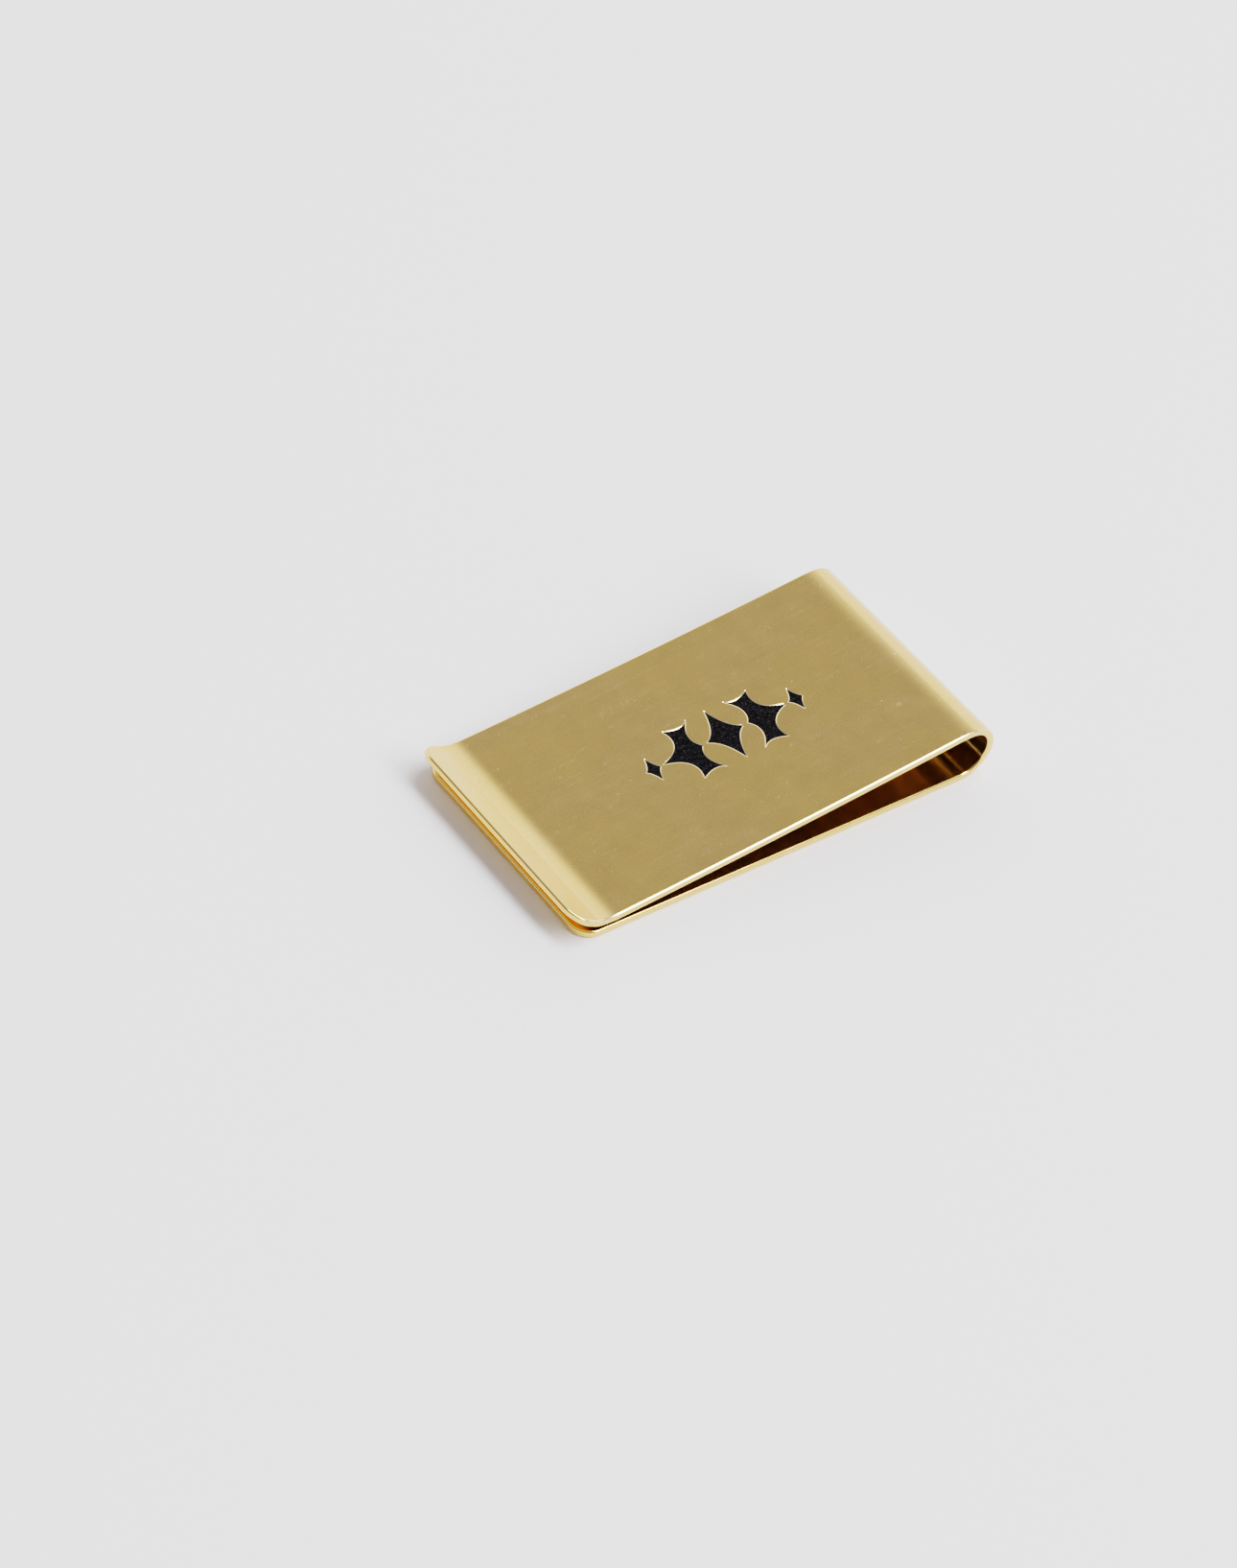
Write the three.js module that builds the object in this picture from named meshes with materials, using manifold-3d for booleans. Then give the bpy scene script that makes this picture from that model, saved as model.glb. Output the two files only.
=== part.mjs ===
// Spring money clip: a strip of sheet metal folded into a U, with a black enamel ornament let into
// its front leaf. Millimetres, +Z up. The clip lies on its back leaf. +X runs from the flared lip to
// the bend, Y runs across the strip, and the origin is on the resting surface under the middle.
//
// The strip is one piece of metal. It is divided here where it is formed or where it flexes: back
// leaf, the two halves of the bend, front leaf and lip. The halves of the bend part at its apex.

import * as THREE from "three";
import { mergeVertices } from "three/addons/utils/BufferGeometryUtils.js";
import Module from "manifold-3d";

// The strip
const LENGTH = 56; // over everything, from the lip to the outside of the bend
const WIDTH = 28;
const THICKNESS = 0.9;
const CORNER_RADIUS = 2.4; // the free corners, seen from above
const BEND_RADIUS = 3.7; // to the outside face
const NOTE_GAP = 0.3; // between the leaves at the pinch line
const LIP_RADIUS = 3; // to the outside face of the front leaf
const LIP_TURN = THREE.MathUtils.degToRad(35); // from the front leaf to the straight of the lip
const LIP_STRAIGHT = 3.4;
const BACK_SETBACK = 1.5; // the back leaf ends this far short of the lip
const SEAM = 0.02; // between two zones of the strip

// The ornament, drawn on the face of the front leaf about a point near its middle
const ORNAMENT_SHIFT = 1.4; // from the middle, towards the bend
const POCKET_DEPTH = 0.3;
const ENAMEL_SINK = 0.03; // the enamel's face below the metal
const ENAMEL_CLEARANCE = 0.03; // all round, and under the enamel
const STAR = { reach: 2.35, height: 3.75, waist: 0.72 };
const LOZENGE = { centre: 9.35, reach: 0.9, height: 1.6, waist: 0.36 };
// A forked bracket, upper half: its two horns, the cusp facing the star and the spike facing away,
// with the control points of the curves between them
const BRACKET = {
  innerHorn: [2.45, 3.75],
  fork: [[3.2, 2.9], [4.6, 3.2]],
  outerHorn: [5.5, 3.75],
  back: [[5, 2.7], [4.9, 0.7]],
  spike: [8.1, 0],
  cusp: [3, 0],
  hollow: [[3.9, 0.9], [3.9, 2.3]],
};

const BEND_STEPS = 18; // for each half of the bend
const LIP_STEPS = 8;
const CURVE_STEPS = 10;
const SHARPEST = 4; // limit on how far a tip moves when its outline grows

const wasm = await Module();
wasm.setup();

const gold = { color: 0xb8a25f, roughness: 0.28, metalness: 1 };
const enamel = { color: 0x121116, roughness: 0.3, metalness: 0 };

const clip = new THREE.Group();

function addPart(name, geometry, finish) {
  const mesh = new THREE.Mesh(geometry, new THREE.MeshStandardMaterial(finish));
  mesh.name = name;
  clip.add(mesh);
}

// Solid geometry for booleans

function toManifold(geometry) {
  const bare = geometry.clone();
  bare.deleteAttribute("normal");
  bare.deleteAttribute("uv");
  const merged = mergeVertices(bare, 1e-4);
  const vertProperties = new Float32Array(merged.attributes.position.array);
  const triVerts = new Uint32Array(merged.index.array);
  return new wasm.Manifold(new wasm.Mesh({ numProp: 3, vertProperties, triVerts }));
}

function toGeometry(solid) {
  const mesh = solid.getMesh();
  const geometry = new THREE.BufferGeometry();
  geometry.setAttribute("position", new THREE.BufferAttribute(mesh.vertProperties, 3));
  geometry.setIndex(new THREE.BufferAttribute(mesh.triVerts, 1));
  geometry.computeVertexNormals();
  return geometry;
}

// The side view of the strip. Headings are directions in the XZ plane, turning from +X towards +Z.

function along(point, heading, distance) {
  return new THREE.Vector2(
    point.x + distance * Math.cos(heading),
    point.y + distance * Math.sin(heading),
  );
}

// Slope of the front leaf that brings its inside face to NOTE_GAP over the back leaf at the lip
function solveLeaf() {
  const centreX = LENGTH / 2 - BEND_RADIUS;
  let slope = 0.1;
  let length = 0;
  for (let pass = 0; pass < 40; pass += 1) {
    const rise = LIP_TURN - slope;
    const lipReach = LIP_RADIUS * (Math.sin(rise) + Math.sin(slope))
      + LIP_STRAIGHT * Math.cos(rise) + THICKNESS * Math.sin(rise);
    const startX = centreX - BEND_RADIUS * Math.sin(slope);
    length = (startX + LENGTH / 2 - lipReach) / Math.cos(slope);
    const insideTop = BEND_RADIUS + (BEND_RADIUS - THICKNESS) * Math.cos(slope);
    slope = Math.asin((insideTop - THICKNESS - NOTE_GAP) / length);
  }
  return { slope, length };
}

const leaf = solveLeaf();
const bendCentre = new THREE.Vector2(LENGTH / 2 - BEND_RADIUS, BEND_RADIUS);
const leafNormal = Math.PI / 2 + leaf.slope; // heading of the outward normal
const leafHeading = leafNormal + Math.PI / 2; // from the bend to the lip
const leafStart = along(bendCentre, leafNormal, BEND_RADIUS);
const leafEnd = along(leafStart, leafHeading, leaf.length);

// Points of an arc about a centre, from one heading to another
function arc(centre, radius, from, to, steps) {
  const points = [];
  for (let i = 0; i <= steps; i += 1) {
    points.push(along(centre, from + ((to - from) * i) / steps, radius));
  }
  return points;
}

// A zone of the strip, from its side view
function sweepAcross(outline) {
  const geometry = new THREE.ExtrudeGeometry(new THREE.Shape(outline), {
    depth: WIDTH,
    bevelEnabled: false,
  });
  geometry.rotateX(Math.PI / 2);
  geometry.translate(0, WIDTH / 2, 0);
  return geometry;
}

// The free corners: the strip's outline from above, with its ends at two values of X
function roundCorners(geometry, endX) {
  const corner = CORNER_RADIUS;
  const outline = new THREE.Shape();
  outline.moveTo(LENGTH, -WIDTH / 2);
  outline.lineTo(LENGTH, WIDTH / 2);
  outline.lineTo(endX + corner, WIDTH / 2);
  outline.absarc(endX + corner, WIDTH / 2 - corner, corner, Math.PI / 2, Math.PI);
  outline.absarc(endX + corner, corner - WIDTH / 2, corner, Math.PI, 1.5 * Math.PI);
  const prism = new THREE.ExtrudeGeometry(outline, {
    depth: 4 * BEND_RADIUS,
    bevelEnabled: false,
    curveSegments: CURVE_STEPS,
  });
  prism.translate(0, 0, -BEND_RADIUS);
  return toGeometry(toManifold(geometry).intersect(toManifold(prism)));
}

// Back leaf: flat on the resting surface

const backEnd = BACK_SETBACK - LENGTH / 2;
const backOutline = [
  new THREE.Vector2(bendCentre.x - SEAM, 0),
  new THREE.Vector2(bendCentre.x - SEAM, THICKNESS),
  new THREE.Vector2(backEnd, THICKNESS),
  new THREE.Vector2(backEnd, 0),
];
addPart("back_leaf", roundCorners(sweepAcross(backOutline), backEnd), gold);

// The bend, in two halves that part at the apex

function bendHalf(from, to) {
  const inside = BEND_RADIUS - THICKNESS;
  return sweepAcross([
    ...arc(bendCentre, BEND_RADIUS, from, to, BEND_STEPS),
    ...arc(bendCentre, inside, to, from, BEND_STEPS),
  ]);
}

const apexSeam = SEAM / 2 / BEND_RADIUS;
addPart("bend_back_half", bendHalf(-Math.PI / 2, -apexSeam), gold);
addPart("bend_front_half", bendHalf(apexSeam, leafNormal), gold);

// Front leaf, with a pocket for each piece of enamel

const leafFrom = along(leafStart, leafHeading, SEAM);
const leafTo = along(leafEnd, leafHeading, -SEAM);
const leafOutline = [
  leafFrom,
  leafTo,
  along(leafTo, leafNormal, -THICKNESS),
  along(leafFrom, leafNormal, -THICKNESS),
];
const leafBlank = toManifold(sweepAcross(leafOutline));

// Four points joined by hollow sides
function hollowDiamond({ centre = 0, reach, height, waist }) {
  const shape = new THREE.Shape();
  shape.moveTo(centre + reach, 0);
  shape.quadraticCurveTo(centre + waist, waist, centre, height);
  shape.quadraticCurveTo(centre - waist, waist, centre - reach, 0);
  shape.quadraticCurveTo(centre - waist, -waist, centre, -height);
  shape.quadraticCurveTo(centre + waist, -waist, centre + reach, 0);
  return shape;
}

// side is 1 towards the bend and -1 towards the lip; each curve is followed by its mirror image
function bracket(side) {
  const { innerHorn, fork, outerHorn, back, spike, cusp, hollow } = BRACKET;
  const upper = ([x, y]) => [side * x, y];
  const lower = ([x, y]) => [side * x, -y];
  const shape = new THREE.Shape();
  shape.moveTo(...upper(innerHorn));
  shape.bezierCurveTo(...[...fork, outerHorn].flatMap(upper));
  shape.bezierCurveTo(...[...back, spike].flatMap(upper));
  shape.bezierCurveTo(...[back[1], back[0], outerHorn].flatMap(lower));
  shape.bezierCurveTo(...[fork[1], fork[0], innerHorn].flatMap(lower));
  shape.bezierCurveTo(...[hollow[1], hollow[0], cusp].flatMap(lower));
  shape.bezierCurveTo(...[...hollow, innerHorn].flatMap(upper));
  return shape;
}

const ornament = {
  enamel_star: hollowDiamond(STAR),
  enamel_bracket_lip_side: bracket(-1),
  enamel_bracket_bend_side: bracket(1),
  enamel_lozenge_lip_side: hollowDiamond({ ...LOZENGE, centre: -LOZENGE.centre }),
  enamel_lozenge_bend_side: hollowDiamond(LOZENGE),
};

// Places a prism drawn on the leaf's face: its plane z = 0 becomes the face, +z its outward normal
const leafMiddle = along(leafStart, leafHeading, leaf.length / 2 - ORNAMENT_SHIFT);
const ontoLeaf = new THREE.Matrix4()
  .makeTranslation(leafMiddle.x, 0, leafMiddle.y)
  .multiply(new THREE.Matrix4().makeRotationY(-leaf.slope));

// An outline as points, each moved outwards so that its sides move by the growth. A sharp tip moves
// further than a side does, up to SHARPEST times as far.
function grownOutline(shape, growth) {
  const points = shape.getPoints(CURVE_STEPS);
  if (points[0].distanceTo(points.at(-1)) < 1e-6) {
    points.pop();
  }
  if (THREE.ShapeUtils.isClockWise(points)) {
    points.reverse();
  }
  const count = points.length;
  const grown = points.map((point, i) => {
    const arriving = point.clone().sub(points[(i + count - 1) % count]).normalize();
    const leaving = points[(i + 1) % count].clone().sub(point).normalize();
    const heading = arriving.add(leaving).normalize();
    const outward = new THREE.Vector2(heading.y, -heading.x);
    const share = Math.max(heading.dot(leaving), 1 / SHARPEST);
    return point.clone().addScaledVector(outward, growth / share);
  });
  return new THREE.Shape(grown);
}

function prismOnLeaf(outline, bottom, top) {
  const geometry = new THREE.ExtrudeGeometry(outline, { depth: top - bottom, bevelEnabled: false });
  geometry.translate(0, 0, bottom);
  geometry.applyMatrix4(ontoLeaf);
  return geometry;
}

let leafSolid = leafBlank;
for (const [name, shape] of Object.entries(ornament)) {
  const pocket = prismOnLeaf(grownOutline(shape, ENAMEL_CLEARANCE), -POCKET_DEPTH, POCKET_DEPTH);
  leafSolid = leafSolid.subtract(toManifold(pocket));
  const fill = prismOnLeaf(grownOutline(shape, 0), ENAMEL_CLEARANCE - POCKET_DEPTH, -ENAMEL_SINK);
  addPart(name, fill, enamel);
}
addPart("front_leaf", toGeometry(leafSolid), gold);

// Lip: curves up and away from the back leaf, then runs straight to its edge

const lipCentre = along(leafEnd, leafNormal, LIP_RADIUS);
const lipFrom = leafNormal - Math.PI;
const lipTo = lipFrom - LIP_TURN;
const lipTop = arc(lipCentre, LIP_RADIUS, lipFrom, lipTo, LIP_STEPS);
const lipUnder = arc(lipCentre, LIP_RADIUS + THICKNESS, lipTo, lipFrom, LIP_STEPS);
const lipHeading = leafHeading - LIP_TURN;
const lipOutline = [
  ...lipTop,
  along(lipTop.at(-1), lipHeading, LIP_STRAIGHT),
  along(lipUnder[0], lipHeading, LIP_STRAIGHT),
  ...lipUnder,
];
addPart("flared_lip", roundCorners(sweepAcross(lipOutline), -LENGTH / 2), gold);

export default clip;
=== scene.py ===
# Spring money clip: the looks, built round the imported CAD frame.
#
# The clip is one strip of polished gold-coloured metal. Its surface is made flat, as the blank is before
# it is formed, and then laid along the strip's side view. A flat point is (run, across, depth): run is the
# length along the strip's outside face from the free end of the back leaf, across is Y, and depth goes
# into the metal.

from math import asin, cos, pi, radians, sin

import bpy
import numpy as np
from mathutils import Matrix, Vector, noise
from mathutils.geometry import delaunay_2d_cdt


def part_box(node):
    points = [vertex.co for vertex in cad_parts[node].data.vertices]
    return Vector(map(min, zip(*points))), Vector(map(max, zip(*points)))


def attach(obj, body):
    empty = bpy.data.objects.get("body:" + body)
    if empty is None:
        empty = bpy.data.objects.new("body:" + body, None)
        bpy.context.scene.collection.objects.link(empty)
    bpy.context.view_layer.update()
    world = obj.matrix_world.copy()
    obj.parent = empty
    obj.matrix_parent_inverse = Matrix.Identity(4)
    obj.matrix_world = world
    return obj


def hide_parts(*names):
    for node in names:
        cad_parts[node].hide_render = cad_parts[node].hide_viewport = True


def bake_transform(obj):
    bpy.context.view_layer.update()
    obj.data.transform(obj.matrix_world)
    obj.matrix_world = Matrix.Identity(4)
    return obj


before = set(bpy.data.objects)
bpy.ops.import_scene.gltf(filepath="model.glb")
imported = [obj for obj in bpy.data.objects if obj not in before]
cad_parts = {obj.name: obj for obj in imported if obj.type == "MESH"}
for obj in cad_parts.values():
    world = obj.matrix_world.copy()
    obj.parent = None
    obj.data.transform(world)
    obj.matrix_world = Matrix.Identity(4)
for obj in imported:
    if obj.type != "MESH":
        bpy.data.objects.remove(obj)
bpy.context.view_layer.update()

MM = 0.001

# The strip's dimensions, from the frame
back_low, back_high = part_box("back_leaf")
bend_low, bend_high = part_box("bend_back_half")
arch_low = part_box("bend_front_half")[0]
leaf_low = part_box("front_leaf")[0]
lip_low, lip_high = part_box("flared_lip")
WIDTH = back_high.y - back_low.y
THICKNESS = back_high.z - back_low.z
BEND_RADIUS = bend_high.x - bend_low.x
FRAME_SLOPE = asin((bend_low.x - arch_low.x) / BEND_RADIUS)  # of the frame's front leaf
BACK_LENGTH = bend_low.x - back_low.x

# The front leaf eases out of the bend, is bowed a little towards the back leaf, and eases into the lip
BEND_EASE = 1.9 * MM
LEAF_BOW = radians(2.4)
LIP_EASE = 2.1 * MM
LIP_EASE_TURN = radians(14)
LIP_RADIUS = 3 * MM
LIP_TURN = radians(32.8)  # from the frame's front leaf
LIP_RISE = LIP_TURN - FRAME_SLOPE  # from level
LIP_STRAIGHT = 3.3 * MM

CORNER_RADIUS = 2.4 * MM  # the strip's free corners
ARRIS_RADIUS = 0.26 * MM  # the tumbled edges
TIP_LENGTH = 3 * MM  # the lip thins towards its end
TIP_SHARE = 0.75

# Steps of the mesh
ARRIS_STEPS = 6
CORNER_STEPS = 14
BEND_STEPS = 96
BEND_EASE_STEPS = 12
LEAF_STEPS = 30
LIP_EASE_STEPS = 12
LIP_BEND_STEPS = 24

FIT_PASSES = 20  # until the lip ends where the frame's does
ORNAMENT_PASSES = 8  # until the ornament is at the middle of the frame's star


# ---------------------------------------------------------------- the strip's side view


def side_segments(slope, leaf_length):
    """Lengths of run, and the angle that each turns through, from +X towards +Z. slope is the front leaf's,
    where it leaves the bend."""
    lip_turn = slope - LEAF_BOW + LIP_RISE - LIP_EASE_TURN
    return [
        (BACK_LENGTH, 0),
        (BEND_RADIUS * pi, pi),
        (BEND_EASE, slope),
        (leaf_length, -LEAF_BOW),
        (LIP_EASE, -LIP_EASE_TURN),
        (LIP_RADIUS * lip_turn, -lip_turn),
        (LIP_STRAIGHT, 0),
    ]


def walk(segments, run):
    """The outside face's (x, z) and heading at a length of run."""
    x, z, heading = back_low.x, back_low.z, 0.0
    for length, turn in segments:
        step = min(run, length)
        if turn:
            radius = length / turn
            ahead = heading + step / radius
            x += radius * (sin(ahead) - sin(heading))
            z += radius * (cos(heading) - cos(ahead))
            heading = ahead
        else:
            x += step * cos(heading)
            z += step * sin(heading)
        run -= step
        if run <= 0:
            break
    return x, z, heading


def fitted_segments():
    """The side view whose lip ends where the frame's does."""
    slope = FRAME_SLOPE
    leaf_length = arch_low.x - leaf_low.x
    for _ in range(FIT_PASSES):
        segments = side_segments(slope, leaf_length)
        x, z, heading = walk(segments, sum(length for length, _ in segments))
        lowest = x - THICKNESS * TIP_SHARE * max(0, sin(heading))
        leaf_length += lowest - lip_low.x
        slope += (z - lip_high.z) / leaf_length
    return segments


SEGMENTS = fitted_segments()
_, BEND_LENGTH, _, LEAF_LENGTH, _, LIP_BEND_LENGTH, _ = [length for length, _ in SEGMENTS]
BEND_START = BACK_LENGTH
BEND_TOP = BEND_START + BEND_LENGTH
BEND_END = BEND_TOP + BEND_EASE
LIP_START = BEND_END + LEAF_LENGTH
LIP_EASE_END = LIP_START + LIP_EASE
LIP_BEND_END = LIP_EASE_END + LIP_BEND_LENGTH
STRIP_END = LIP_BEND_END + LIP_STRAIGHT

# The pieces meet this far into the flats on each side of a bend
CUT_MARGIN = 0.6 * MM
BACK_CUT = BEND_START - CUT_MARGIN
FRONT_CUT = BEND_END + CUT_MARGIN
LIP_CUT = LIP_START - CUT_MARGIN


def thickness_share(run):
    """How much of the strip's thickness is left where the lip thins."""
    share = min(1.0, max(0.0, (run - STRIP_END + TIP_LENGTH) / TIP_LENGTH))
    smooth = share * share * (3 - 2 * share)
    return 1 - (1 - TIP_SHARE) * smooth


def lay(point):
    """A flat point, in the row frame."""
    run, across, depth = point
    x, z, heading = walk(SEGMENTS, run)
    depth *= thickness_share(run)
    return Vector((x - depth * sin(heading), across, z + depth * cos(heading)))


def lay_normal(run, normal):
    """A direction in flat coordinates, in the row frame."""
    heading = walk(SEGMENTS, run)[2]
    along, across, inward = normal
    return Vector(
        (
            along * cos(heading) - inward * sin(heading),
            across,
            along * sin(heading) + inward * cos(heading),
        )
    )


# ---------------------------------------------------------------- meshes in flat coordinates


class FlatMesh:
    """A closed mesh in flat coordinates, with the normal at every face corner."""

    MERGE = 1e-7  # points closer than this, in metres, are one

    def __init__(self):
        self.points = []
        self.found = {}
        self.faces = []
        self.normals = []

    def vertex(self, point):
        point = Vector(point)
        key = tuple(round(c / self.MERGE) for c in point)
        if key not in self.found:
            self.found[key] = len(self.points)
            self.points.append(tuple(point))
        return self.found[key]

    def face(self, corners, normals):
        """normals is one vector for a flat face, or one for each corner. They also say which side is out."""
        if not isinstance(normals, list):
            normals = [normals] * len(corners)
        ring = []
        for corner, normal in zip(corners, normals):
            index = self.vertex(corner)
            if not ring or (ring[-1][0] != index and ring[0][0] != index):
                ring.append((index, Vector(normal).normalized()))
        if len(ring) < 3:
            return
        points = [Vector(self.points[i]) for i, _ in ring]
        area = Vector((0, 0, 0))
        for a, b in zip(points, points[1:] + points[:1]):
            area += (a - points[0]).cross(b - points[0])
        if area.dot(sum((n for _, n in ring), Vector((0, 0, 0)))) < 0:
            ring.reverse()
        self.faces.append([i for i, _ in ring])
        self.normals.append([n for _, n in ring])

    def to_object(self, name):
        mesh = bpy.data.meshes.new(name)
        mesh.from_pydata([lay(p) for p in self.points], [], self.faces)
        flat = mesh.attributes.new("flat", "FLOAT_VECTOR", "POINT")
        flat.data.foreach_set("vector", np.array(self.points, np.float32).ravel() / MM)
        mesh.shade_smooth()
        corners = []
        for face, normals in zip(self.faces, self.normals):
            corners += [lay_normal(self.points[i][0], n) for i, n in zip(face, normals)]
        mesh.normals_split_custom_set(corners)
        mesh.validate()
        thing = bpy.data.objects.new(name, mesh)
        bpy.context.scene.collection.objects.link(thing)
        return thing


UP = Vector((0, 0, -1))  # out of the strip's outside face
DOWN = Vector((0, 0, 1))


def at_depth(point, depth):
    return (point[0], point[1], depth)


def add_triangles(body, points, faces, depth, normal):
    """Flat triangles at one depth."""
    for face in faces:
        body.face([at_depth(points[i], depth) for i in face], normal)


def add_band_face(body, i, upper, upper_depth, lower, lower_depth, normals):
    """One face of the band between two outlines at two depths, with a normal for each of their points."""
    j = (i + 1) % len(upper)
    body.face(
        [
            at_depth(upper[i], upper_depth),
            at_depth(upper[j], upper_depth),
            at_depth(lower[j], lower_depth),
            at_depth(lower[i], lower_depth),
        ],
        [normals[i], normals[j], normals[j], normals[i]],
    )


# ---------------------------------------------------------------- lengths of the strip


def between(start, end, steps):
    return [start + (end - start) * i / steps for i in range(steps + 1)]


def profile_step(angle, depth):
    return (ARRIS_RADIUS * (1 - sin(angle)), depth, sin(angle), -cos(angle))


def edge_profile():
    """(inset, depth, outward share, inward share) from the outside face round the edge to the inside face."""
    profile = []
    for i in range(ARRIS_STEPS + 1):
        angle = pi / 2 * i / ARRIS_STEPS
        profile.append(profile_step(angle, ARRIS_RADIUS * (1 - cos(angle))))
    for i in range(ARRIS_STEPS + 1):
        angle = pi / 2 * (1 + i / ARRIS_STEPS)
        profile.append(profile_step(angle, THICKNESS - ARRIS_RADIUS * (1 + cos(angle))))
    return profile


PROFILE = edge_profile()


def side_path(runs):
    """The strip's edge on the +Y side at each run: (run, across, outward along, outward across)."""
    return [(run, WIDTH / 2, 0.0, 1.0) for run in runs]


def corner_path(end, side):
    """A rounded free corner, from the side of the strip to its end. side is the sign of the end's
    direction."""
    path = []
    for i in range(CORNER_STEPS + 1):
        angle = pi / 2 * i / CORNER_STEPS
        path.append(
            (
                end - side * CORNER_RADIUS * (1 - sin(angle)),
                WIDTH / 2 - CORNER_RADIUS * (1 - cos(angle)),
                side * sin(angle),
                cos(angle),
            )
        )
    return path


def inset(station, step, mirror=1):
    """The point of the edge profile at a station of the path, on the +Y side or mirrored, and its normal."""
    run, across, out_along, out_across = station
    distance, depth, outward, inward = step
    point = (run - distance * out_along, mirror * (across - distance * out_across), depth)
    return point, Vector((out_along * outward, mirror * out_across * outward, inward))


def add_rounded_face(body, made):
    """A face from its points, each with its normal."""
    body.face([point for point, _ in made], [normal for _, normal in made])


def add_side(body, path, mirror):
    """The rounded edge along one side of the strip."""
    for here, there in zip(path, path[1:]):
        for upper, lower in zip(PROFILE, PROFILE[1:]):
            corners = ((here, upper), (there, upper), (there, lower), (here, lower))
            add_rounded_face(body, [inset(station, step, mirror) for station, step in corners])


def add_plain_face(body, path, step, normal):
    """The outside or the inside face, from side to side."""
    for here, there in zip(path, path[1:]):
        corners = ((here, 1), (there, 1), (there, -1), (here, -1))
        body.face([inset(station, step, mirror)[0] for station, mirror in corners], normal)


def add_cut_face(body, station, way):
    """The flat face where the strip meets its next piece. way is the sign of its direction."""
    loop = [inset(station, step)[0] for step in PROFILE]
    loop += [inset(station, step, -1)[0] for step in reversed(PROFILE)]
    body.face(loop, Vector((way, 0, 0)))


def add_free_end(body, station):
    """The rounded edge across the end of the strip, between its two free corners."""
    for upper, lower in zip(PROFILE, PROFILE[1:]):
        corners = ((upper, 1), (upper, -1), (lower, -1), (lower, 1))
        add_rounded_face(body, [inset(station, step, mirror) for step, mirror in corners])


def strip_piece(path, free_end, add_top=None):
    """A closed length of the strip. path is its +Y edge, and the -Y edge mirrors it. add_top, if given, makes
    the outside face instead of the plain one."""
    body = FlatMesh()
    for mirror in (1, -1):
        add_side(body, path, mirror)
    if add_top is None:
        add_plain_face(body, path, PROFILE[0], UP)
    else:
        add_top(body)
    add_plain_face(body, path, PROFILE[-1], DOWN)
    forward = 1 if path[-1][0] > path[0][0] else -1
    add_cut_face(body, path[0], -forward)
    if free_end:
        add_free_end(body, path[-1])
    else:
        add_cut_face(body, path[-1], forward)
    return body


# ---------------------------------------------------------------- the ornament

# It is drawn on the front leaf about the middle of the frame's star, +x towards the bend. Its outlines are
# in millimetres.
STAR = {"reach": 2.35, "height": 3.75, "waist": 0.72}
LOZENGE = {"reach": 0.9, "height": 1.6, "waist": 0.36}
LOZENGE_CENTRE = 9.35
BRACKET_HORN = (2.45, 3.75)
# Upper half of the forked bracket: the two control points and the end of each curve
BRACKET_CURVES = [
    [(3.2, 2.9), (4.6, 3.2), (5.5, 3.75)],
    [(5, 2.7), (4.9, 0.7), (8.1, 0)],
]
BRACKET_HOLLOW = [(3.9, 0.9), (3.9, 2.3)]
BRACKET_CUSP = (3, 0)
CURVE_STEPS = 24

POCKET_DEPTH = 0.3 * MM
RIM_WIDTH = 0.13 * MM  # the bright bevel cut round each pocket
RIM_DEPTH = 0.045 * MM
SHARPEST = 1.15  # limit on how far a tip moves when its outline grows
NEAR_PITCH = 0.3 * MM  # between the points of the engraved face, round the ornament and away from it
FAR_PITCH = 1.5 * MM
ORNAMENT_MARGIN = 1.5 * MM

ENAMEL_BOTTOM = 0.27 * MM
ENAMEL_PITCH = 0.1 * MM  # between the points of the enamel's surface
ENAMEL_SINK = 0.012 * MM
ENAMEL_DISH = 0.25 * MM  # how far in from its edge the enamel reaches its full sink
SLOPE_STEP = ENAMEL_PITCH / 5  # over which the surface's slope is measured
# The enamel's lumps and pits: how many per millimetre, and how high or deep in millimetres
LUMP_SCALE = 1.7
LUMP_HEIGHT = 0.006
PIT_SCALE = 6
PIT_DEPTH = 0.06
PIT_LEVEL = 0.32  # of the noise, above which there is a pit
PIT_SHIFT = Vector((9, 0, 0))  # so that the pits don't follow the lumps

INSIDE_ONLY = 1  # delaunay_2d_cdt's way of keeping only the triangles inside its edges
TOUCHING = 1e-6  # millimetres


def ornament_run():
    """The run at which the front leaf passes under the middle of the frame's star."""
    star_low, star_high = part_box("enamel_star")
    run = BEND_END
    for _ in range(ORNAMENT_PASSES):
        run += walk(SEGMENTS, run)[0] - (star_low.x + star_high.x) / 2
    return run


ORNAMENT_RUN = ornament_run()


def curve(start, controls, steps=CURVE_STEPS):
    """Points of a Bezier curve after its start. controls ends with the curve's end."""
    points = [Vector(start), *(Vector(c) for c in controls)]
    made = []
    for i in range(1, steps + 1):
        t = i / steps
        level = points
        while len(level) > 1:
            level = [a.lerp(b, t) for a, b in zip(level, level[1:])]
        made.append(level[0])
    return made


def hollow_diamond(reach, height, waist, centre=0.0):
    """Four points joined by hollow sides."""
    corners = [(reach, 0), (0, height), (-reach, 0), (0, -height)]
    waists = [(waist, waist), (-waist, waist), (-waist, -waist), (waist, -waist)]
    outline = []
    for i in range(4):
        outline += curve(corners[i], [waists[i], corners[(i + 1) % 4]])
    return [Vector((centre + p.x, p.y)) for p in outline]


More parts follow.
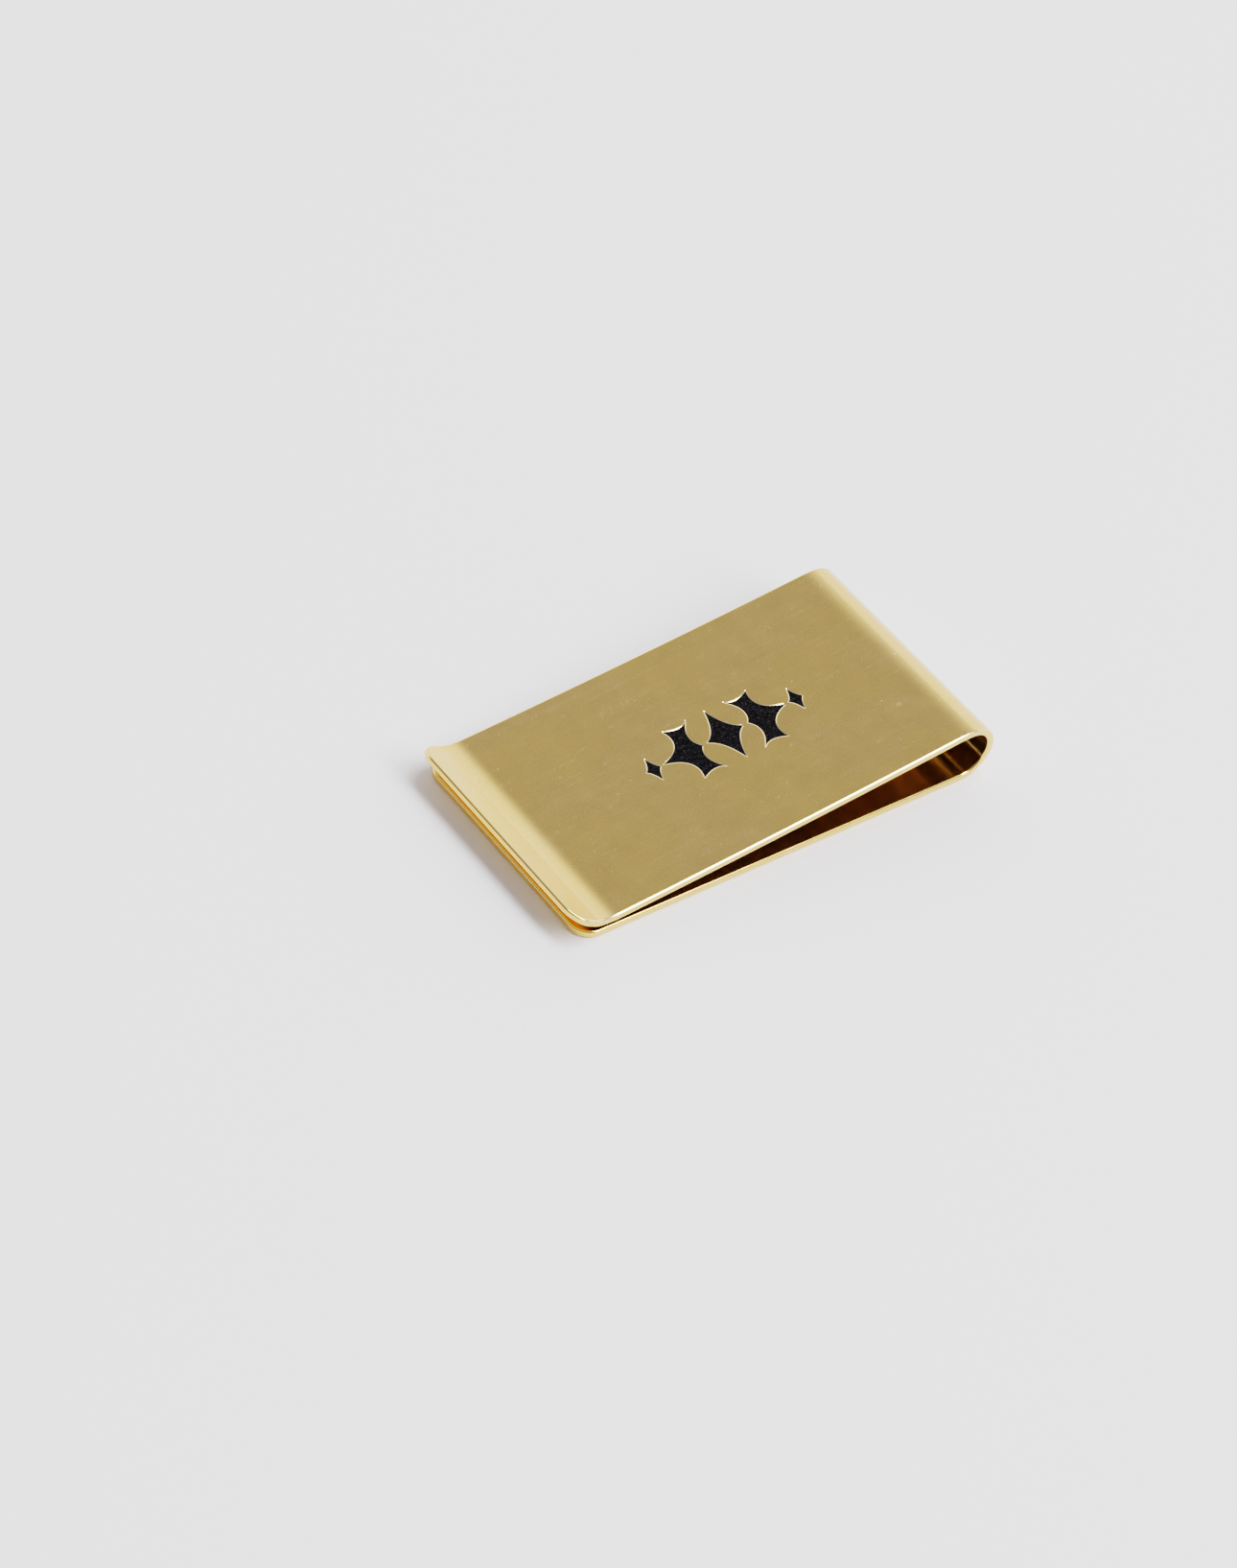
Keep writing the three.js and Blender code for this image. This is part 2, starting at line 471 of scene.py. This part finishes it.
def forked_bracket(side):
    """side is 1 towards the bend and -1 towards the lip."""
    upper = []
    start = BRACKET_HORN
    for controls in BRACKET_CURVES:
        upper += curve(start, controls)
        start = controls[-1]
    hollow = curve(BRACKET_CUSP, [*BRACKET_HOLLOW, BRACKET_HORN])
    half = hollow + upper  # from the cusp, over the horns, to the spike
    whole = half + [Vector((p.x, -p.y)) for p in reversed(half[:-1])] + [Vector(BRACKET_CUSP)]
    return [Vector((side * p.x, p.y)) for p in whole]


def on_strip(outline):
    """An outline in millimetres as (run, across) points, anticlockwise."""
    points = [Vector((ORNAMENT_RUN - p.x * MM, p.y * MM)) for p in outline]
    area = sum(a.cross(b) for a, b in zip(points, points[1:] + points[:1]))
    return points if area > 0 else points[::-1]


ORNAMENT = {
    "enamel_star": on_strip(hollow_diamond(**STAR)),
    "enamel_bracket_lip_side": on_strip(forked_bracket(-1)),
    "enamel_bracket_bend_side": on_strip(forked_bracket(1)),
    "enamel_lozenge_lip_side": on_strip(hollow_diamond(**LOZENGE, centre=-LOZENGE_CENTRE)),
    "enamel_lozenge_bend_side": on_strip(hollow_diamond(**LOZENGE, centre=LOZENGE_CENTRE)),
}


def outward_at(points, i):
    """Outward direction of an anticlockwise outline at a point, and how much further a tip moves than a
    side."""
    arriving = (points[i] - points[i - 1]).normalized()
    leaving = (points[(i + 1) % len(points)] - points[i]).normalized()
    heading = (arriving + leaving).normalized()
    return Vector((heading.y, -heading.x)), 1 / max(heading.dot(leaving), 1 / SHARPEST)


def outward_directions(points):
    return [outward_at(points, i)[0] for i in range(len(points))]


def grown(points, growth):
    made = []
    for i, point in enumerate(points):
        outward, stretch = outward_at(points, i)
        made.append(point + outward * growth * stretch)
    return made


def sides_of(outline):
    """The starts and the ends of a closed outline's sides."""
    starts = np.array([p[:] for p in outline])
    return starts, np.roll(starts, -1, axis=0)


def inside(points, outline):
    """Which of the points lie inside a closed outline."""
    a, b = sides_of(outline)
    points = np.array([p[:] for p in points])
    x, y = points[:, :1], points[:, 1:]
    crosses = (a[:, 1] > y) != (b[:, 1] > y)
    rise = np.where(a[:, 1] == b[:, 1], 1.0, b[:, 1] - a[:, 1])
    left = x < a[:, 0] + (y - a[:, 1]) / rise * (b[:, 0] - a[:, 0])
    return (crosses & left).sum(axis=1) % 2 == 1


def gap_to(points, outline):
    """Distance from each of the points to a closed outline."""
    a, b = sides_of(outline)
    from_a = np.array([p[:] for p in points])[:, None] - a
    side = b - a
    share = np.clip((from_a * side).sum(axis=2) / (side * side).sum(axis=1), 0, 1)
    return np.linalg.norm(from_a - share[..., None] * side, axis=2).min(axis=1)


def staggered(low, high, pitch):
    """Points inside a rectangle, in staggered rows."""
    columns = int((high[0] - low[0]) / pitch)
    rows = int((high[1] - low[1]) / pitch)
    return [
        Vector((low[0] + (i + 0.5 * (j % 2)) * pitch, low[1] + j * pitch))
        for i in range(1, columns)
        for j in range(1, rows)
    ]


def chosen(points, keep):
    return [p for p, kept in zip(points, keep) if kept]


def triangles(rings, loose=()):
    """Triangles inside the first ring and outside the others, with the loose points used too: the points, and
    the three point numbers of each triangle."""
    points, edges = [], []
    for ring in rings:
        first = len(points)
        points += ring
        edges += [(first + i, first + (i + 1) % len(ring)) for i in range(len(ring))]
    points += loose
    made = delaunay_2d_cdt([p / MM for p in points], edges, [], INSIDE_ONLY, TOUCHING, True)
    source = [numbers[0] for numbers in made[3]]
    faces = [[source[i] for i in face] for face in made[2]]
    middles = [(points[i] + points[j] + points[k]) / 3 for i, j, k in faces]
    keep = inside(middles, rings[0])
    for hole in rings[1:]:
        keep &= ~inside(middles, hole)
    return points, chosen(faces, keep)


def leaf_runs():
    return between(FRONT_CUT, LIP_CUT, LEAF_STEPS)


def leaf_border():
    """The outline of the front leaf's outside face, anticlockwise."""
    edge = WIDTH / 2 - ARRIS_RADIUS
    border = [Vector((run, -edge)) for run in leaf_runs()]
    return border + [Vector((run, edge)) for run in reversed(leaf_runs())]


def leaf_points(border, rims):
    """Points that keep the triangles of the engraved face even: close together round the ornament."""
    rim_points = np.array([p[:] for rim in rims for p in rim])
    low, high = rim_points.min(axis=0) - ORNAMENT_MARGIN, rim_points.max(axis=0) + ORNAMENT_MARGIN
    near = staggered(low, high, NEAR_PITCH)
    for rim in rims:
        near = chosen(near, ~inside(near, rim) & (gap_to(near, rim) > NEAR_PITCH / 2))
    corners = ((low[0], low[1]), (high[0], low[1]), (high[0], high[1]), (low[0], high[1]))
    patch = [Vector(corner) for corner in corners]
    opposite_corner = border[LEAF_STEPS + 1]
    far = staggered(border[0], opposite_corner, FAR_PITCH)
    return near + chosen(far, ~inside(far, patch))


def add_pocket(body, outline, rim):
    """A bevel from the rim down to the outline, the walls below it, and the pocket's floor."""
    outward = outward_directions(outline)
    bevel = [Vector((-way.x * RIM_DEPTH, -way.y * RIM_DEPTH, -RIM_WIDTH)) for way in outward]
    wall = [Vector((-way.x, -way.y, 0)) for way in outward]
    for i in range(len(outline)):
        add_band_face(body, i, rim, 0, outline, RIM_DEPTH, bevel)
        add_band_face(body, i, outline, RIM_DEPTH, outline, POCKET_DEPTH, wall)
    add_triangles(body, *triangles([outline]), POCKET_DEPTH, UP)


def engraved_top(body):
    """The front leaf's outside face, with a bevelled pocket for each piece of enamel."""
    border = leaf_border()
    rims = [grown(outline, RIM_WIDTH) for outline in ORNAMENT.values()]
    add_triangles(body, *triangles([border, *rims], leaf_points(border, rims)), 0, UP)
    for outline, rim in zip(ORNAMENT.values(), rims):
        add_pocket(body, outline, rim)


def enamel_depths(points, outline):
    """The fill sinks a little away from its edge, and is lightly pitted."""
    depths = []
    for point, gap in zip(points, gap_to(points, outline)):
        place = Vector((point.x, point.y, 0)) / MM
        lumps = noise.noise(place * LUMP_SCALE) * LUMP_HEIGHT * MM
        grain = noise.noise(place * PIT_SCALE + PIT_SHIFT)
        pits = max(0.0, grain - PIT_LEVEL) * PIT_DEPTH * MM
        depths.append(RIM_DEPTH + min(1.0, gap / ENAMEL_DISH) * (ENAMEL_SINK + lumps + pits))
    return np.array(depths)


def enamel_piece(outline):
    """A closed fill: its uneven surface, its walls and its bottom."""
    starts = sides_of(outline)[0]
    loose = staggered(starts.min(axis=0), starts.max(axis=0), ENAMEL_PITCH)
    loose = chosen(loose, inside(loose, outline) & (gap_to(loose, outline) > ENAMEL_PITCH / 2))
    points, faces = triangles([outline], loose)
    depths = enamel_depths(points, outline)
    along = enamel_depths([p + Vector((SLOPE_STEP, 0)) for p in points], outline) - depths
    across = enamel_depths([p + Vector((0, SLOPE_STEP)) for p in points], outline) - depths
    body = FlatMesh()
    for face in faces:
        body.face(
            [at_depth(points[i], depths[i]) for i in face],
            [Vector((along[i], across[i], -SLOPE_STEP)) for i in face],
        )
    walls = [Vector((way.x, way.y, 0)) for way in outward_directions(outline)]
    for i in range(len(outline)):
        add_band_face(body, i, outline, RIM_DEPTH, outline, ENAMEL_BOTTOM, walls)
    add_triangles(body, *triangles([outline]), ENAMEL_BOTTOM, DOWN)
    return body


# ---------------------------------------------------------------- materials

# Textures are placed by the attribute "flat", the flat point in millimetres, so they keep their place on the
# strip in every pose. A noise is its scale per millimetre, its detail and its roughness.
GOLD_NOISE = {
    "haze": (0.35, 4.0, 0.6),
    "mottle": (3.2, 3.0, 0.6),
    "satin": (4.5, 2.0, 0.7),
    "patches": (0.09, 1.0, 0.5),
    "grain": (13.0, 2.0, 0.6),
}
ENAMEL_NOISE = {
    "cloud": (2.6, 4.0, 0.65),
    "grain": (16.0, 3.0, 0.7),
    "pale_pits": (7.0, 4.0, 0.75),
}

# Scratches from handling: direction, pitch and length in millimetres, and rarity
HAIRLINES = [
    (radians(14), 0.09, 9.0, 0.58),
    (radians(-38), 0.11, 6.0, 0.6),
    (radians(71), 0.16, 14.0, 0.62),
]
HAIRLINE_WIDTH = 0.016  # of the noise, on each side of its middle value
WANDER_SCALE = (0.35, 0.35, 0.35)  # how the scratches stray from straight
WANDER_TURN = 1.0
PRESENT_SCALE = (0.9, 0.21)  # where there are scratches, against their own length and pitch
PRESENT_SHIFT = (31, 7, 0)
PRESENT_FADE = 0.06

SPECK_CELLS = 1.1  # per millimetre
SPECK_CHOICE = (0.72, 0.74)  # of the cells' random values, above which a cell has a speck
SPECK_EDGE = (0.03, 0.07)

# Worn edges with a painted highlight: paler metal on the top of the rounded edges, partly wear and partly a
# painted highlight along them. The depths below the outside face where they start and end, their share, and
# where they fade out before the end of the lip, in millimetres
WEAR_AND_HIGHLIGHT_START = (0.003, 0.03)
WEAR_AND_HIGHLIGHT_END = (0.06, 0.15)
WEAR_AND_HIGHLIGHT_SHARE = 0.75
WEAR_AND_HIGHLIGHT_FADE = 0.8

# The metal's colour: each layer's texture, where it starts and is full, its share and its colour
PLAIN_GOLD = (0.93, 0.65, 0.25, 1)
GOLD_LAYERS = [
    ("haze", 0.42, 0.72, 0.5, (0.89, 0.61, 0.225, 1)),
    ("patches", 0.4, 0.62, 0.8, (0.905, 0.635, 0.275, 1)),
    ("satin", 0.36, 0.66, 0.5, (0.78, 0.545, 0.205, 1)),
]
GOLD_MARKS = [
    ("scratches", 0.6, (0.98, 0.8, 0.46, 1)),
    ("specks", 0.5, (0.99, 0.86, 0.6, 1)),
]
# Paler gold of the worn edges, partly a painted highlight along them
WORN_AND_HIGHLIT_GOLD = (0.98, 0.86, 0.6, 1)
GOLD_ROUGHNESS = 0.10
GOLD_ROUGHER = {"haze": 0.10, "grain": 0.06, "scratches": 0.04, "specks": 0.20}
GOLD_HEIGHTS = {"mottle": 0.9, "grain": 0.25, "scratches": -0.15, "specks": 0.8}
GOLD_RELIEF = 0.0016 * MM

ENAMEL_CLOUD = (0.36, 0.64)
# Pale specks in the enamel's pits: the noise levels where they start and are full, then their colour and
# share
ENAMEL_PALE_PITS = (0.6, 0.68)
DARK_ENAMEL = (0.0008, 0.0008, 0.0012, 1)
CLOUDY_ENAMEL = (0.013, 0.0122, 0.0155, 1)
PALE_PIT_COLOUR = (0.3, 0.26, 0.2, 1)
PALE_PIT_SHARE = 0.6
ENAMEL_ROUGHNESS = 0.22
ENAMEL_ROUGHER = {"grain": 0.25, "pale_pits": 0.3}
ENAMEL_RELIEF = 0.004 * MM


class Nodes:
    """Short ways to add and join shader nodes."""

    def __init__(self, tree):
        self.tree = tree

    def add(self, kind, inputs=None, **settings):
        node = self.tree.nodes.new(kind)
        for name, value in settings.items():
            setattr(node, name, value)
        for name, value in (inputs or {}).items():
            socket = node.inputs[name]
            if isinstance(value, bpy.types.NodeSocket):
                self.tree.links.new(value, socket)
            else:
                socket.default_value = value
        return node

    def feed(self, node, name, value):
        self.tree.links.new(value, node.inputs[name])

    def maths(self, operation, a, b=0.0, c=0.0):
        return self.add("ShaderNodeMath", {0: a, 1: b, 2: c}, operation=operation).outputs[0]

    def vector(self, operation, a, b=(0, 0, 0)):
        node = self.add("ShaderNodeVectorMath", {0: a, 1: b}, operation=operation)
        return node.outputs["Value" if operation == "DOT_PRODUCT" else "Vector"]

    def ramp(self, value, low, high, to_low=0.0, to_high=1.0):
        """Smooth step of a value from one number to another."""
        node = self.add(
            "ShaderNodeMapRange",
            {"Value": value, "From Min": low, "From Max": high, "To Min": to_low, "To Max": to_high},
            interpolation_type="SMOOTHSTEP",
        )
        return node.outputs["Result"]

    def noise(self, where, scale, detail, rough=0.5):
        node = self.add(
            "ShaderNodeTexNoise",
            {"Vector": where, "Scale": scale, "Detail": detail, "Roughness": rough},
        )
        return node.outputs["Fac"]

    def placed(self, where, turn=0.0, scale=(1, 1, 1), shift=(0, 0, 0)):
        node = self.add(
            "ShaderNodeMapping",
            {"Vector": where, "Location": shift, "Rotation": (0, 0, turn), "Scale": scale},
        )
        return node.outputs["Vector"]

    def mix(self, share, a, b):
        node = self.add("ShaderNodeMix", {"Factor": share, "A": a, "B": b}, data_type="RGBA")
        return node.outputs["Result"]

    def weighted(self, marks, weights, start=0.0):
        """The start, plus each mark times its weight."""
        total = start
        for name, weight in weights.items():
            total = self.maths("MULTIPLY_ADD", marks[name], weight, total)
        return total

    def relief(self, shader, height, distance):
        bump = self.add("ShaderNodeBump", {"Height": height, "Strength": 1.0, "Distance": distance})
        self.feed(shader, "Normal", bump.outputs[0])


def new_material(name):
    material = bpy.data.materials.new(name)
    material.use_nodes = True
    return material, Nodes(material.node_tree), material.node_tree.nodes["Principled BSDF"]


def flat_place(nodes):
    return nodes.add("ShaderNodeAttribute", attribute_name="flat").outputs["Vector"]


def hairlines(nodes, where, turn, pitch, length, rarity):
    """Fine, nearly straight scratches in one direction: 1 on a scratch, 0 off it."""
    wander = nodes.noise(nodes.placed(where, turn + WANDER_TURN, WANDER_SCALE), 1.0, 1.0)
    aside = nodes.add("ShaderNodeCombineXYZ", {"Y": wander}).outputs[0]
    bent = nodes.vector("ADD", nodes.placed(where, turn), aside)
    streaks = nodes.noise(nodes.placed(bent, 0.0, (1 / length, 1 / pitch, 1)), 1.0, 0.0)
    present_scale = (PRESENT_SCALE[0] / length, PRESENT_SCALE[1] / pitch, 1)
    present = nodes.noise(nodes.placed(where, turn, present_scale, PRESENT_SHIFT), 1.0, 0.0)
    off_line = nodes.maths("ABSOLUTE", nodes.maths("SUBTRACT", streaks, 0.5))
    line = nodes.ramp(off_line, 0.0, HAIRLINE_WIDTH, 1.0, 0.0)
    return nodes.maths("MULTIPLY", line, nodes.ramp(present, rarity, rarity + PRESENT_FADE))


def all_scratches(nodes, where):
    scratches = hairlines(nodes, where, *HAIRLINES[0])
    for settings in HAIRLINES[1:]:
        scratches = nodes.maths("MAXIMUM", scratches, hairlines(nodes, where, *settings))
    return scratches


def small_specks(nodes, where):
    """Pale specks, in a few of the cells of an uneven pattern."""
    cells = nodes.add("ShaderNodeTexVoronoi", {"Vector": where, "Scale": SPECK_CELLS, "Randomness": 1.0})
    random_value = nodes.vector("DOT_PRODUCT", cells.outputs["Color"], (1, 0, 0))
    picked = nodes.ramp(random_value, *SPECK_CHOICE)
    return nodes.maths("MULTIPLY", nodes.ramp(cells.outputs["Distance"], *SPECK_EDGE, 1.0, 0.0), picked)


def worn_and_highlit_edges(nodes, where):
    """Share of paler metal, just below the outside face: on the top of the long rounded edges and on
    the rims of the pockets. It is partly bare, worn metal and partly a painted highlight along these edges."""
    place = nodes.add("ShaderNodeSeparateXYZ", {0: where}).outputs
    started = nodes.ramp(place["Z"], *WEAR_AND_HIGHLIGHT_START)
    worn_and_highlit = nodes.maths("MULTIPLY", started, nodes.ramp(place["Z"], *WEAR_AND_HIGHLIGHT_END, WEAR_AND_HIGHLIGHT_SHARE, 0.0))
    tip = (STRIP_END - TIP_LENGTH / 2) / MM
    return nodes.maths("MULTIPLY", worn_and_highlit, nodes.ramp(place["X"], tip, tip + WEAR_AND_HIGHLIGHT_FADE, 1.0, 0.0))


def gold_texture(nodes, where):
    """Everything that varies over the metal, by name."""
    marks = {name: nodes.noise(where, *settings) for name, settings in GOLD_NOISE.items()}
    marks["scratches"] = all_scratches(nodes, where)
    marks["specks"] = small_specks(nodes, where)
    return marks


def gold_colour(nodes, where, marks):
    colour = PLAIN_GOLD
    for name, start, full, share, tint in GOLD_LAYERS:
        colour = nodes.mix(nodes.ramp(marks[name], start, full, 0.0, share), colour, tint)
    for name, share, tint in GOLD_MARKS:
        colour = nodes.mix(nodes.maths("MULTIPLY", marks[name], share), colour, tint)
    # paler edges: partly wear, partly a painted highlight
    return nodes.mix(worn_and_highlit_edges(nodes, where), colour, WORN_AND_HIGHLIT_GOLD)


def gold():
    material, nodes, shader = new_material("polished_gold")
    where = flat_place(nodes)
    marks = gold_texture(nodes, where)
    nodes.feed(shader, "Base Color", gold_colour(nodes, where, marks))
    nodes.feed(shader, "Roughness", nodes.weighted(marks, GOLD_ROUGHER, GOLD_ROUGHNESS))
    nodes.relief(shader, nodes.weighted(marks, GOLD_HEIGHTS), GOLD_RELIEF)
    shader.inputs["Metallic"].default_value = 1.0
    shader.inputs["Coat Weight"].default_value = 0.12
    shader.inputs["Coat Roughness"].default_value = 0.06
    shader.inputs["Coat IOR"].default_value = 1.5
    return material


def black_enamel():
    material, nodes, shader = new_material("black_enamel")
    where = flat_place(nodes)
    marks = {name: nodes.noise(where, *settings) for name, settings in ENAMEL_NOISE.items()}
    marks["pale_pits"] = nodes.ramp(marks["pale_pits"], *ENAMEL_PALE_PITS)
    cloud = nodes.ramp(marks["cloud"], *ENAMEL_CLOUD)
    colour = nodes.mix(cloud, DARK_ENAMEL, CLOUDY_ENAMEL)
    colour = nodes.mix(nodes.maths("MULTIPLY", marks["pale_pits"], PALE_PIT_SHARE), colour, PALE_PIT_COLOUR)
    nodes.feed(shader, "Base Color", colour)
    nodes.feed(shader, "Roughness", nodes.weighted(marks, ENAMEL_ROUGHER, ENAMEL_ROUGHNESS))
    pitted = nodes.maths("MULTIPLY_ADD", marks["pale_pits"], -1.0, marks["grain"])  # the pale specks lie in the pits
    nodes.relief(shader, pitted, ENAMEL_RELIEF)
    shader.inputs["Specular IOR Level"].default_value = 0.08
    return material


# ---------------------------------------------------------------- the pieces


def finish_piece(thing, material, slot, *nodes):
    thing.data.materials.append(material)
    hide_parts(*nodes)


def add_back_leaf(metal):
    path = side_path([BACK_CUT]) + corner_path(0.0, -1)
    back = strip_piece(path, True).to_object("back_leaf_metal")
    finish_piece(back, metal, "gold_metal", "back_leaf")
    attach(back, "back")


def add_bend(metal):
    """Both halves of the bend in one piece."""
    runs = [BACK_CUT, *between(BEND_START, BEND_TOP, BEND_STEPS)]
    runs += [*between(BEND_TOP, BEND_END, BEND_EASE_STEPS)[1:], FRONT_CUT]
    bend = strip_piece(side_path(runs), False).to_object("spring_bend_metal")
    finish_piece(bend, metal, "gold_metal", "bend_back_half", "bend_front_half")
    bend_inside = lay((FRONT_CUT, 0, THICKNESS))
    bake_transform(bend)


def add_front_leaf(metal):
    front = strip_piece(side_path(leaf_runs()), False, engraved_top).to_object("front_leaf_metal")
    finish_piece(front, metal, "gold_metal", "front_leaf")
    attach(front, "front")


def add_lip(metal):
    runs = [LIP_CUT, *between(LIP_START, LIP_EASE_END, LIP_EASE_STEPS)]
    runs += between(LIP_EASE_END, LIP_BEND_END, LIP_BEND_STEPS)[1:]
    path = side_path(runs) + corner_path(STRIP_END, 1)
    lip = strip_piece(path, True).to_object("flared_lip_metal")
    finish_piece(lip, metal, "gold_metal", "flared_lip")
    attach(lip, "front")


def add_enamel(material):
    """One fill in each pocket."""
    for node, outline in ORNAMENT.items():
        fill = enamel_piece(outline).to_object(node + "_fill")
        finish_piece(fill, material, "black_enamel", node)
        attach(fill, "front")


# ---------------------------------------------------------------- the studio

FLOOR_SIZE = 8
FLOOR_CLOUD = 9.0  # patches per metre
FLOOR_COLOURS = [(0.93, 0.935, 0.965, 1), (0.95, 0.955, 0.985, 1)]

# Brightness of the room, by direction: a pale horizon, a bright wall low down behind the clip, dim near the
# camera, and grey above
HORIZON = 1.31
WALL = 1.24
CAMERA_SIDE = 0.2
CEILING = 0.358
FAR_SIDE = (0.713, 0.702, 0)
FAR_FADE = (-0.05, 0.35)
# The heights between which the horizon gives way to the wall, and the wall to the ceiling
HORIZON_FADE = (sin(radians(6)), sin(radians(11)))
WALL_FADE = (sin(radians(36)), sin(radians(49.5)))
WALL_TINT = (1.03, 0.97, 1.0, 1)
CEILING_TINT = (1.0, 0.985, 1.02, 1)

# The softbox: where it is from the clip, roughly the way that its long side runs, and its sides in metres
KEY_DIRECTION = Vector((0.35, -0.4, 0.85))
KEY_ALONG = Vector((-0.05, 0.9, 0.44))
KEY_DISTANCE = 2.0
KEY_SIZE = (3.0, 0.72)
KEY_RADIANCE = 7.9

# The camera, and the point on the clip that it looks at
CAMERA_AZIMUTH = radians(-46.35)
CAMERA_ELEVATION = radians(43.84)
CAMERA_ROLL = radians(13.7)
CAMERA_DISTANCE = 477.9 * MM
CAMERA_TARGET = Vector((-11.5, 0.47, 3.0)) * MM
CAMERA_LENS = 106.1


def add_floor():
    bpy.ops.mesh.primitive_plane_add(size=FLOOR_SIZE, location=(0, 0, 0))
    floor = bpy.context.object
    floor.name = "floor"
    material, nodes, shader = new_material("pale_floor")
    where = nodes.add("ShaderNodeTexCoord").outputs["Object"]
    cloud = nodes.noise(where, FLOOR_CLOUD, 2.0)
    nodes.feed(shader, "Base Color", nodes.mix(cloud, *FLOOR_COLOURS))
    shader.inputs["Roughness"].default_value = 0.7
    shader.inputs["Specular IOR Level"].default_value = 0.2
    floor.data.materials.append(material)


def add_room():
    world = bpy.data.worlds.new("room")
    bpy.context.scene.world = world
    world.use_nodes = True
    nodes = Nodes(world.node_tree)
    background = world.node_tree.nodes["Background"]
    way = nodes.vector("NORMALIZE", nodes.add("ShaderNodeTexCoord").outputs["Generated"])
    height = nodes.vector("DOT_PRODUCT", way, (0, 0, 1))
    far = nodes.ramp(nodes.vector("DOT_PRODUCT", way, FAR_SIDE), *FAR_FADE)
    low = nodes.maths("MULTIPLY_ADD", far, WALL - CAMERA_SIDE, CAMERA_SIDE)
    above_horizon = nodes.ramp(height, *HORIZON_FADE)
    above_wall = nodes.ramp(height, *WALL_FADE)
    value = nodes.maths("MULTIPLY_ADD", above_horizon, nodes.maths("SUBTRACT", low, HORIZON), HORIZON)
    value = nodes.maths("MULTIPLY_ADD", above_wall, nodes.maths("SUBTRACT", CEILING, value), value)
    nodes.feed(background, "Strength", value)
    nodes.feed(background, "Color", nodes.mix(above_wall, WALL_TINT, CEILING_TINT))


def turned_to(right, up, backward):
    """The rotation that turns X, Y and Z to these directions. A lamp or camera looks along -Z."""
    return Matrix((right, up, backward)).transposed()


def add_softbox():
    """A lamp facing the clip, as bright as its radiance wherever it is seen."""
    facing = KEY_DIRECTION.normalized()
    across = facing.cross(KEY_ALONG).normalized()
    light = bpy.data.lights.new("key", "AREA")
    light.shape = "RECTANGLE"
    light.size, light.size_y = KEY_SIZE
    light.energy = KEY_RADIANCE * light.size * light.size_y * pi
    lamp = bpy.data.objects.new("key", light)
    lamp.location = facing * KEY_DISTANCE
    lamp.rotation_mode = "QUATERNION"
    lamp.rotation_quaternion = turned_to(across.cross(facing), across, facing).to_quaternion()
    bpy.context.scene.collection.objects.link(lamp)


def add_camera():
    back_way = Vector(
        (
            sin(CAMERA_AZIMUTH) * cos(CAMERA_ELEVATION),
            -cos(CAMERA_AZIMUTH) * cos(CAMERA_ELEVATION),
            sin(CAMERA_ELEVATION),
        )
    )
    level_right = (-back_way).cross(Vector((0, 0, 1))).normalized()
    level_up = level_right.cross(-back_way)
    right = level_right * cos(CAMERA_ROLL) + level_up * sin(CAMERA_ROLL)
    up = level_up * cos(CAMERA_ROLL) - level_right * sin(CAMERA_ROLL)
    data = bpy.data.cameras.new("camera")
    data.lens = CAMERA_LENS
    data.sensor_width = 36
    data.clip_start = 0.01
    data.clip_end = 20
    camera = bpy.data.objects.new("camera", data)
    place = Matrix.Translation(CAMERA_TARGET + back_way * CAMERA_DISTANCE)
    camera.matrix_world = place @ turned_to(right, up, back_way).to_4x4()
    bpy.context.scene.collection.objects.link(camera)
    bpy.context.scene.camera = camera


gold_metal = gold()
enamel = black_enamel()
add_back_leaf(gold_metal)
add_bend(gold_metal)
add_front_leaf(gold_metal)
add_lip(gold_metal)
add_enamel(enamel)

add_floor()
add_room()
add_softbox()
add_camera()
bpy.context.scene.view_settings.view_transform = "Filmic"
bpy.context.scene.view_settings.look = "High Contrast"
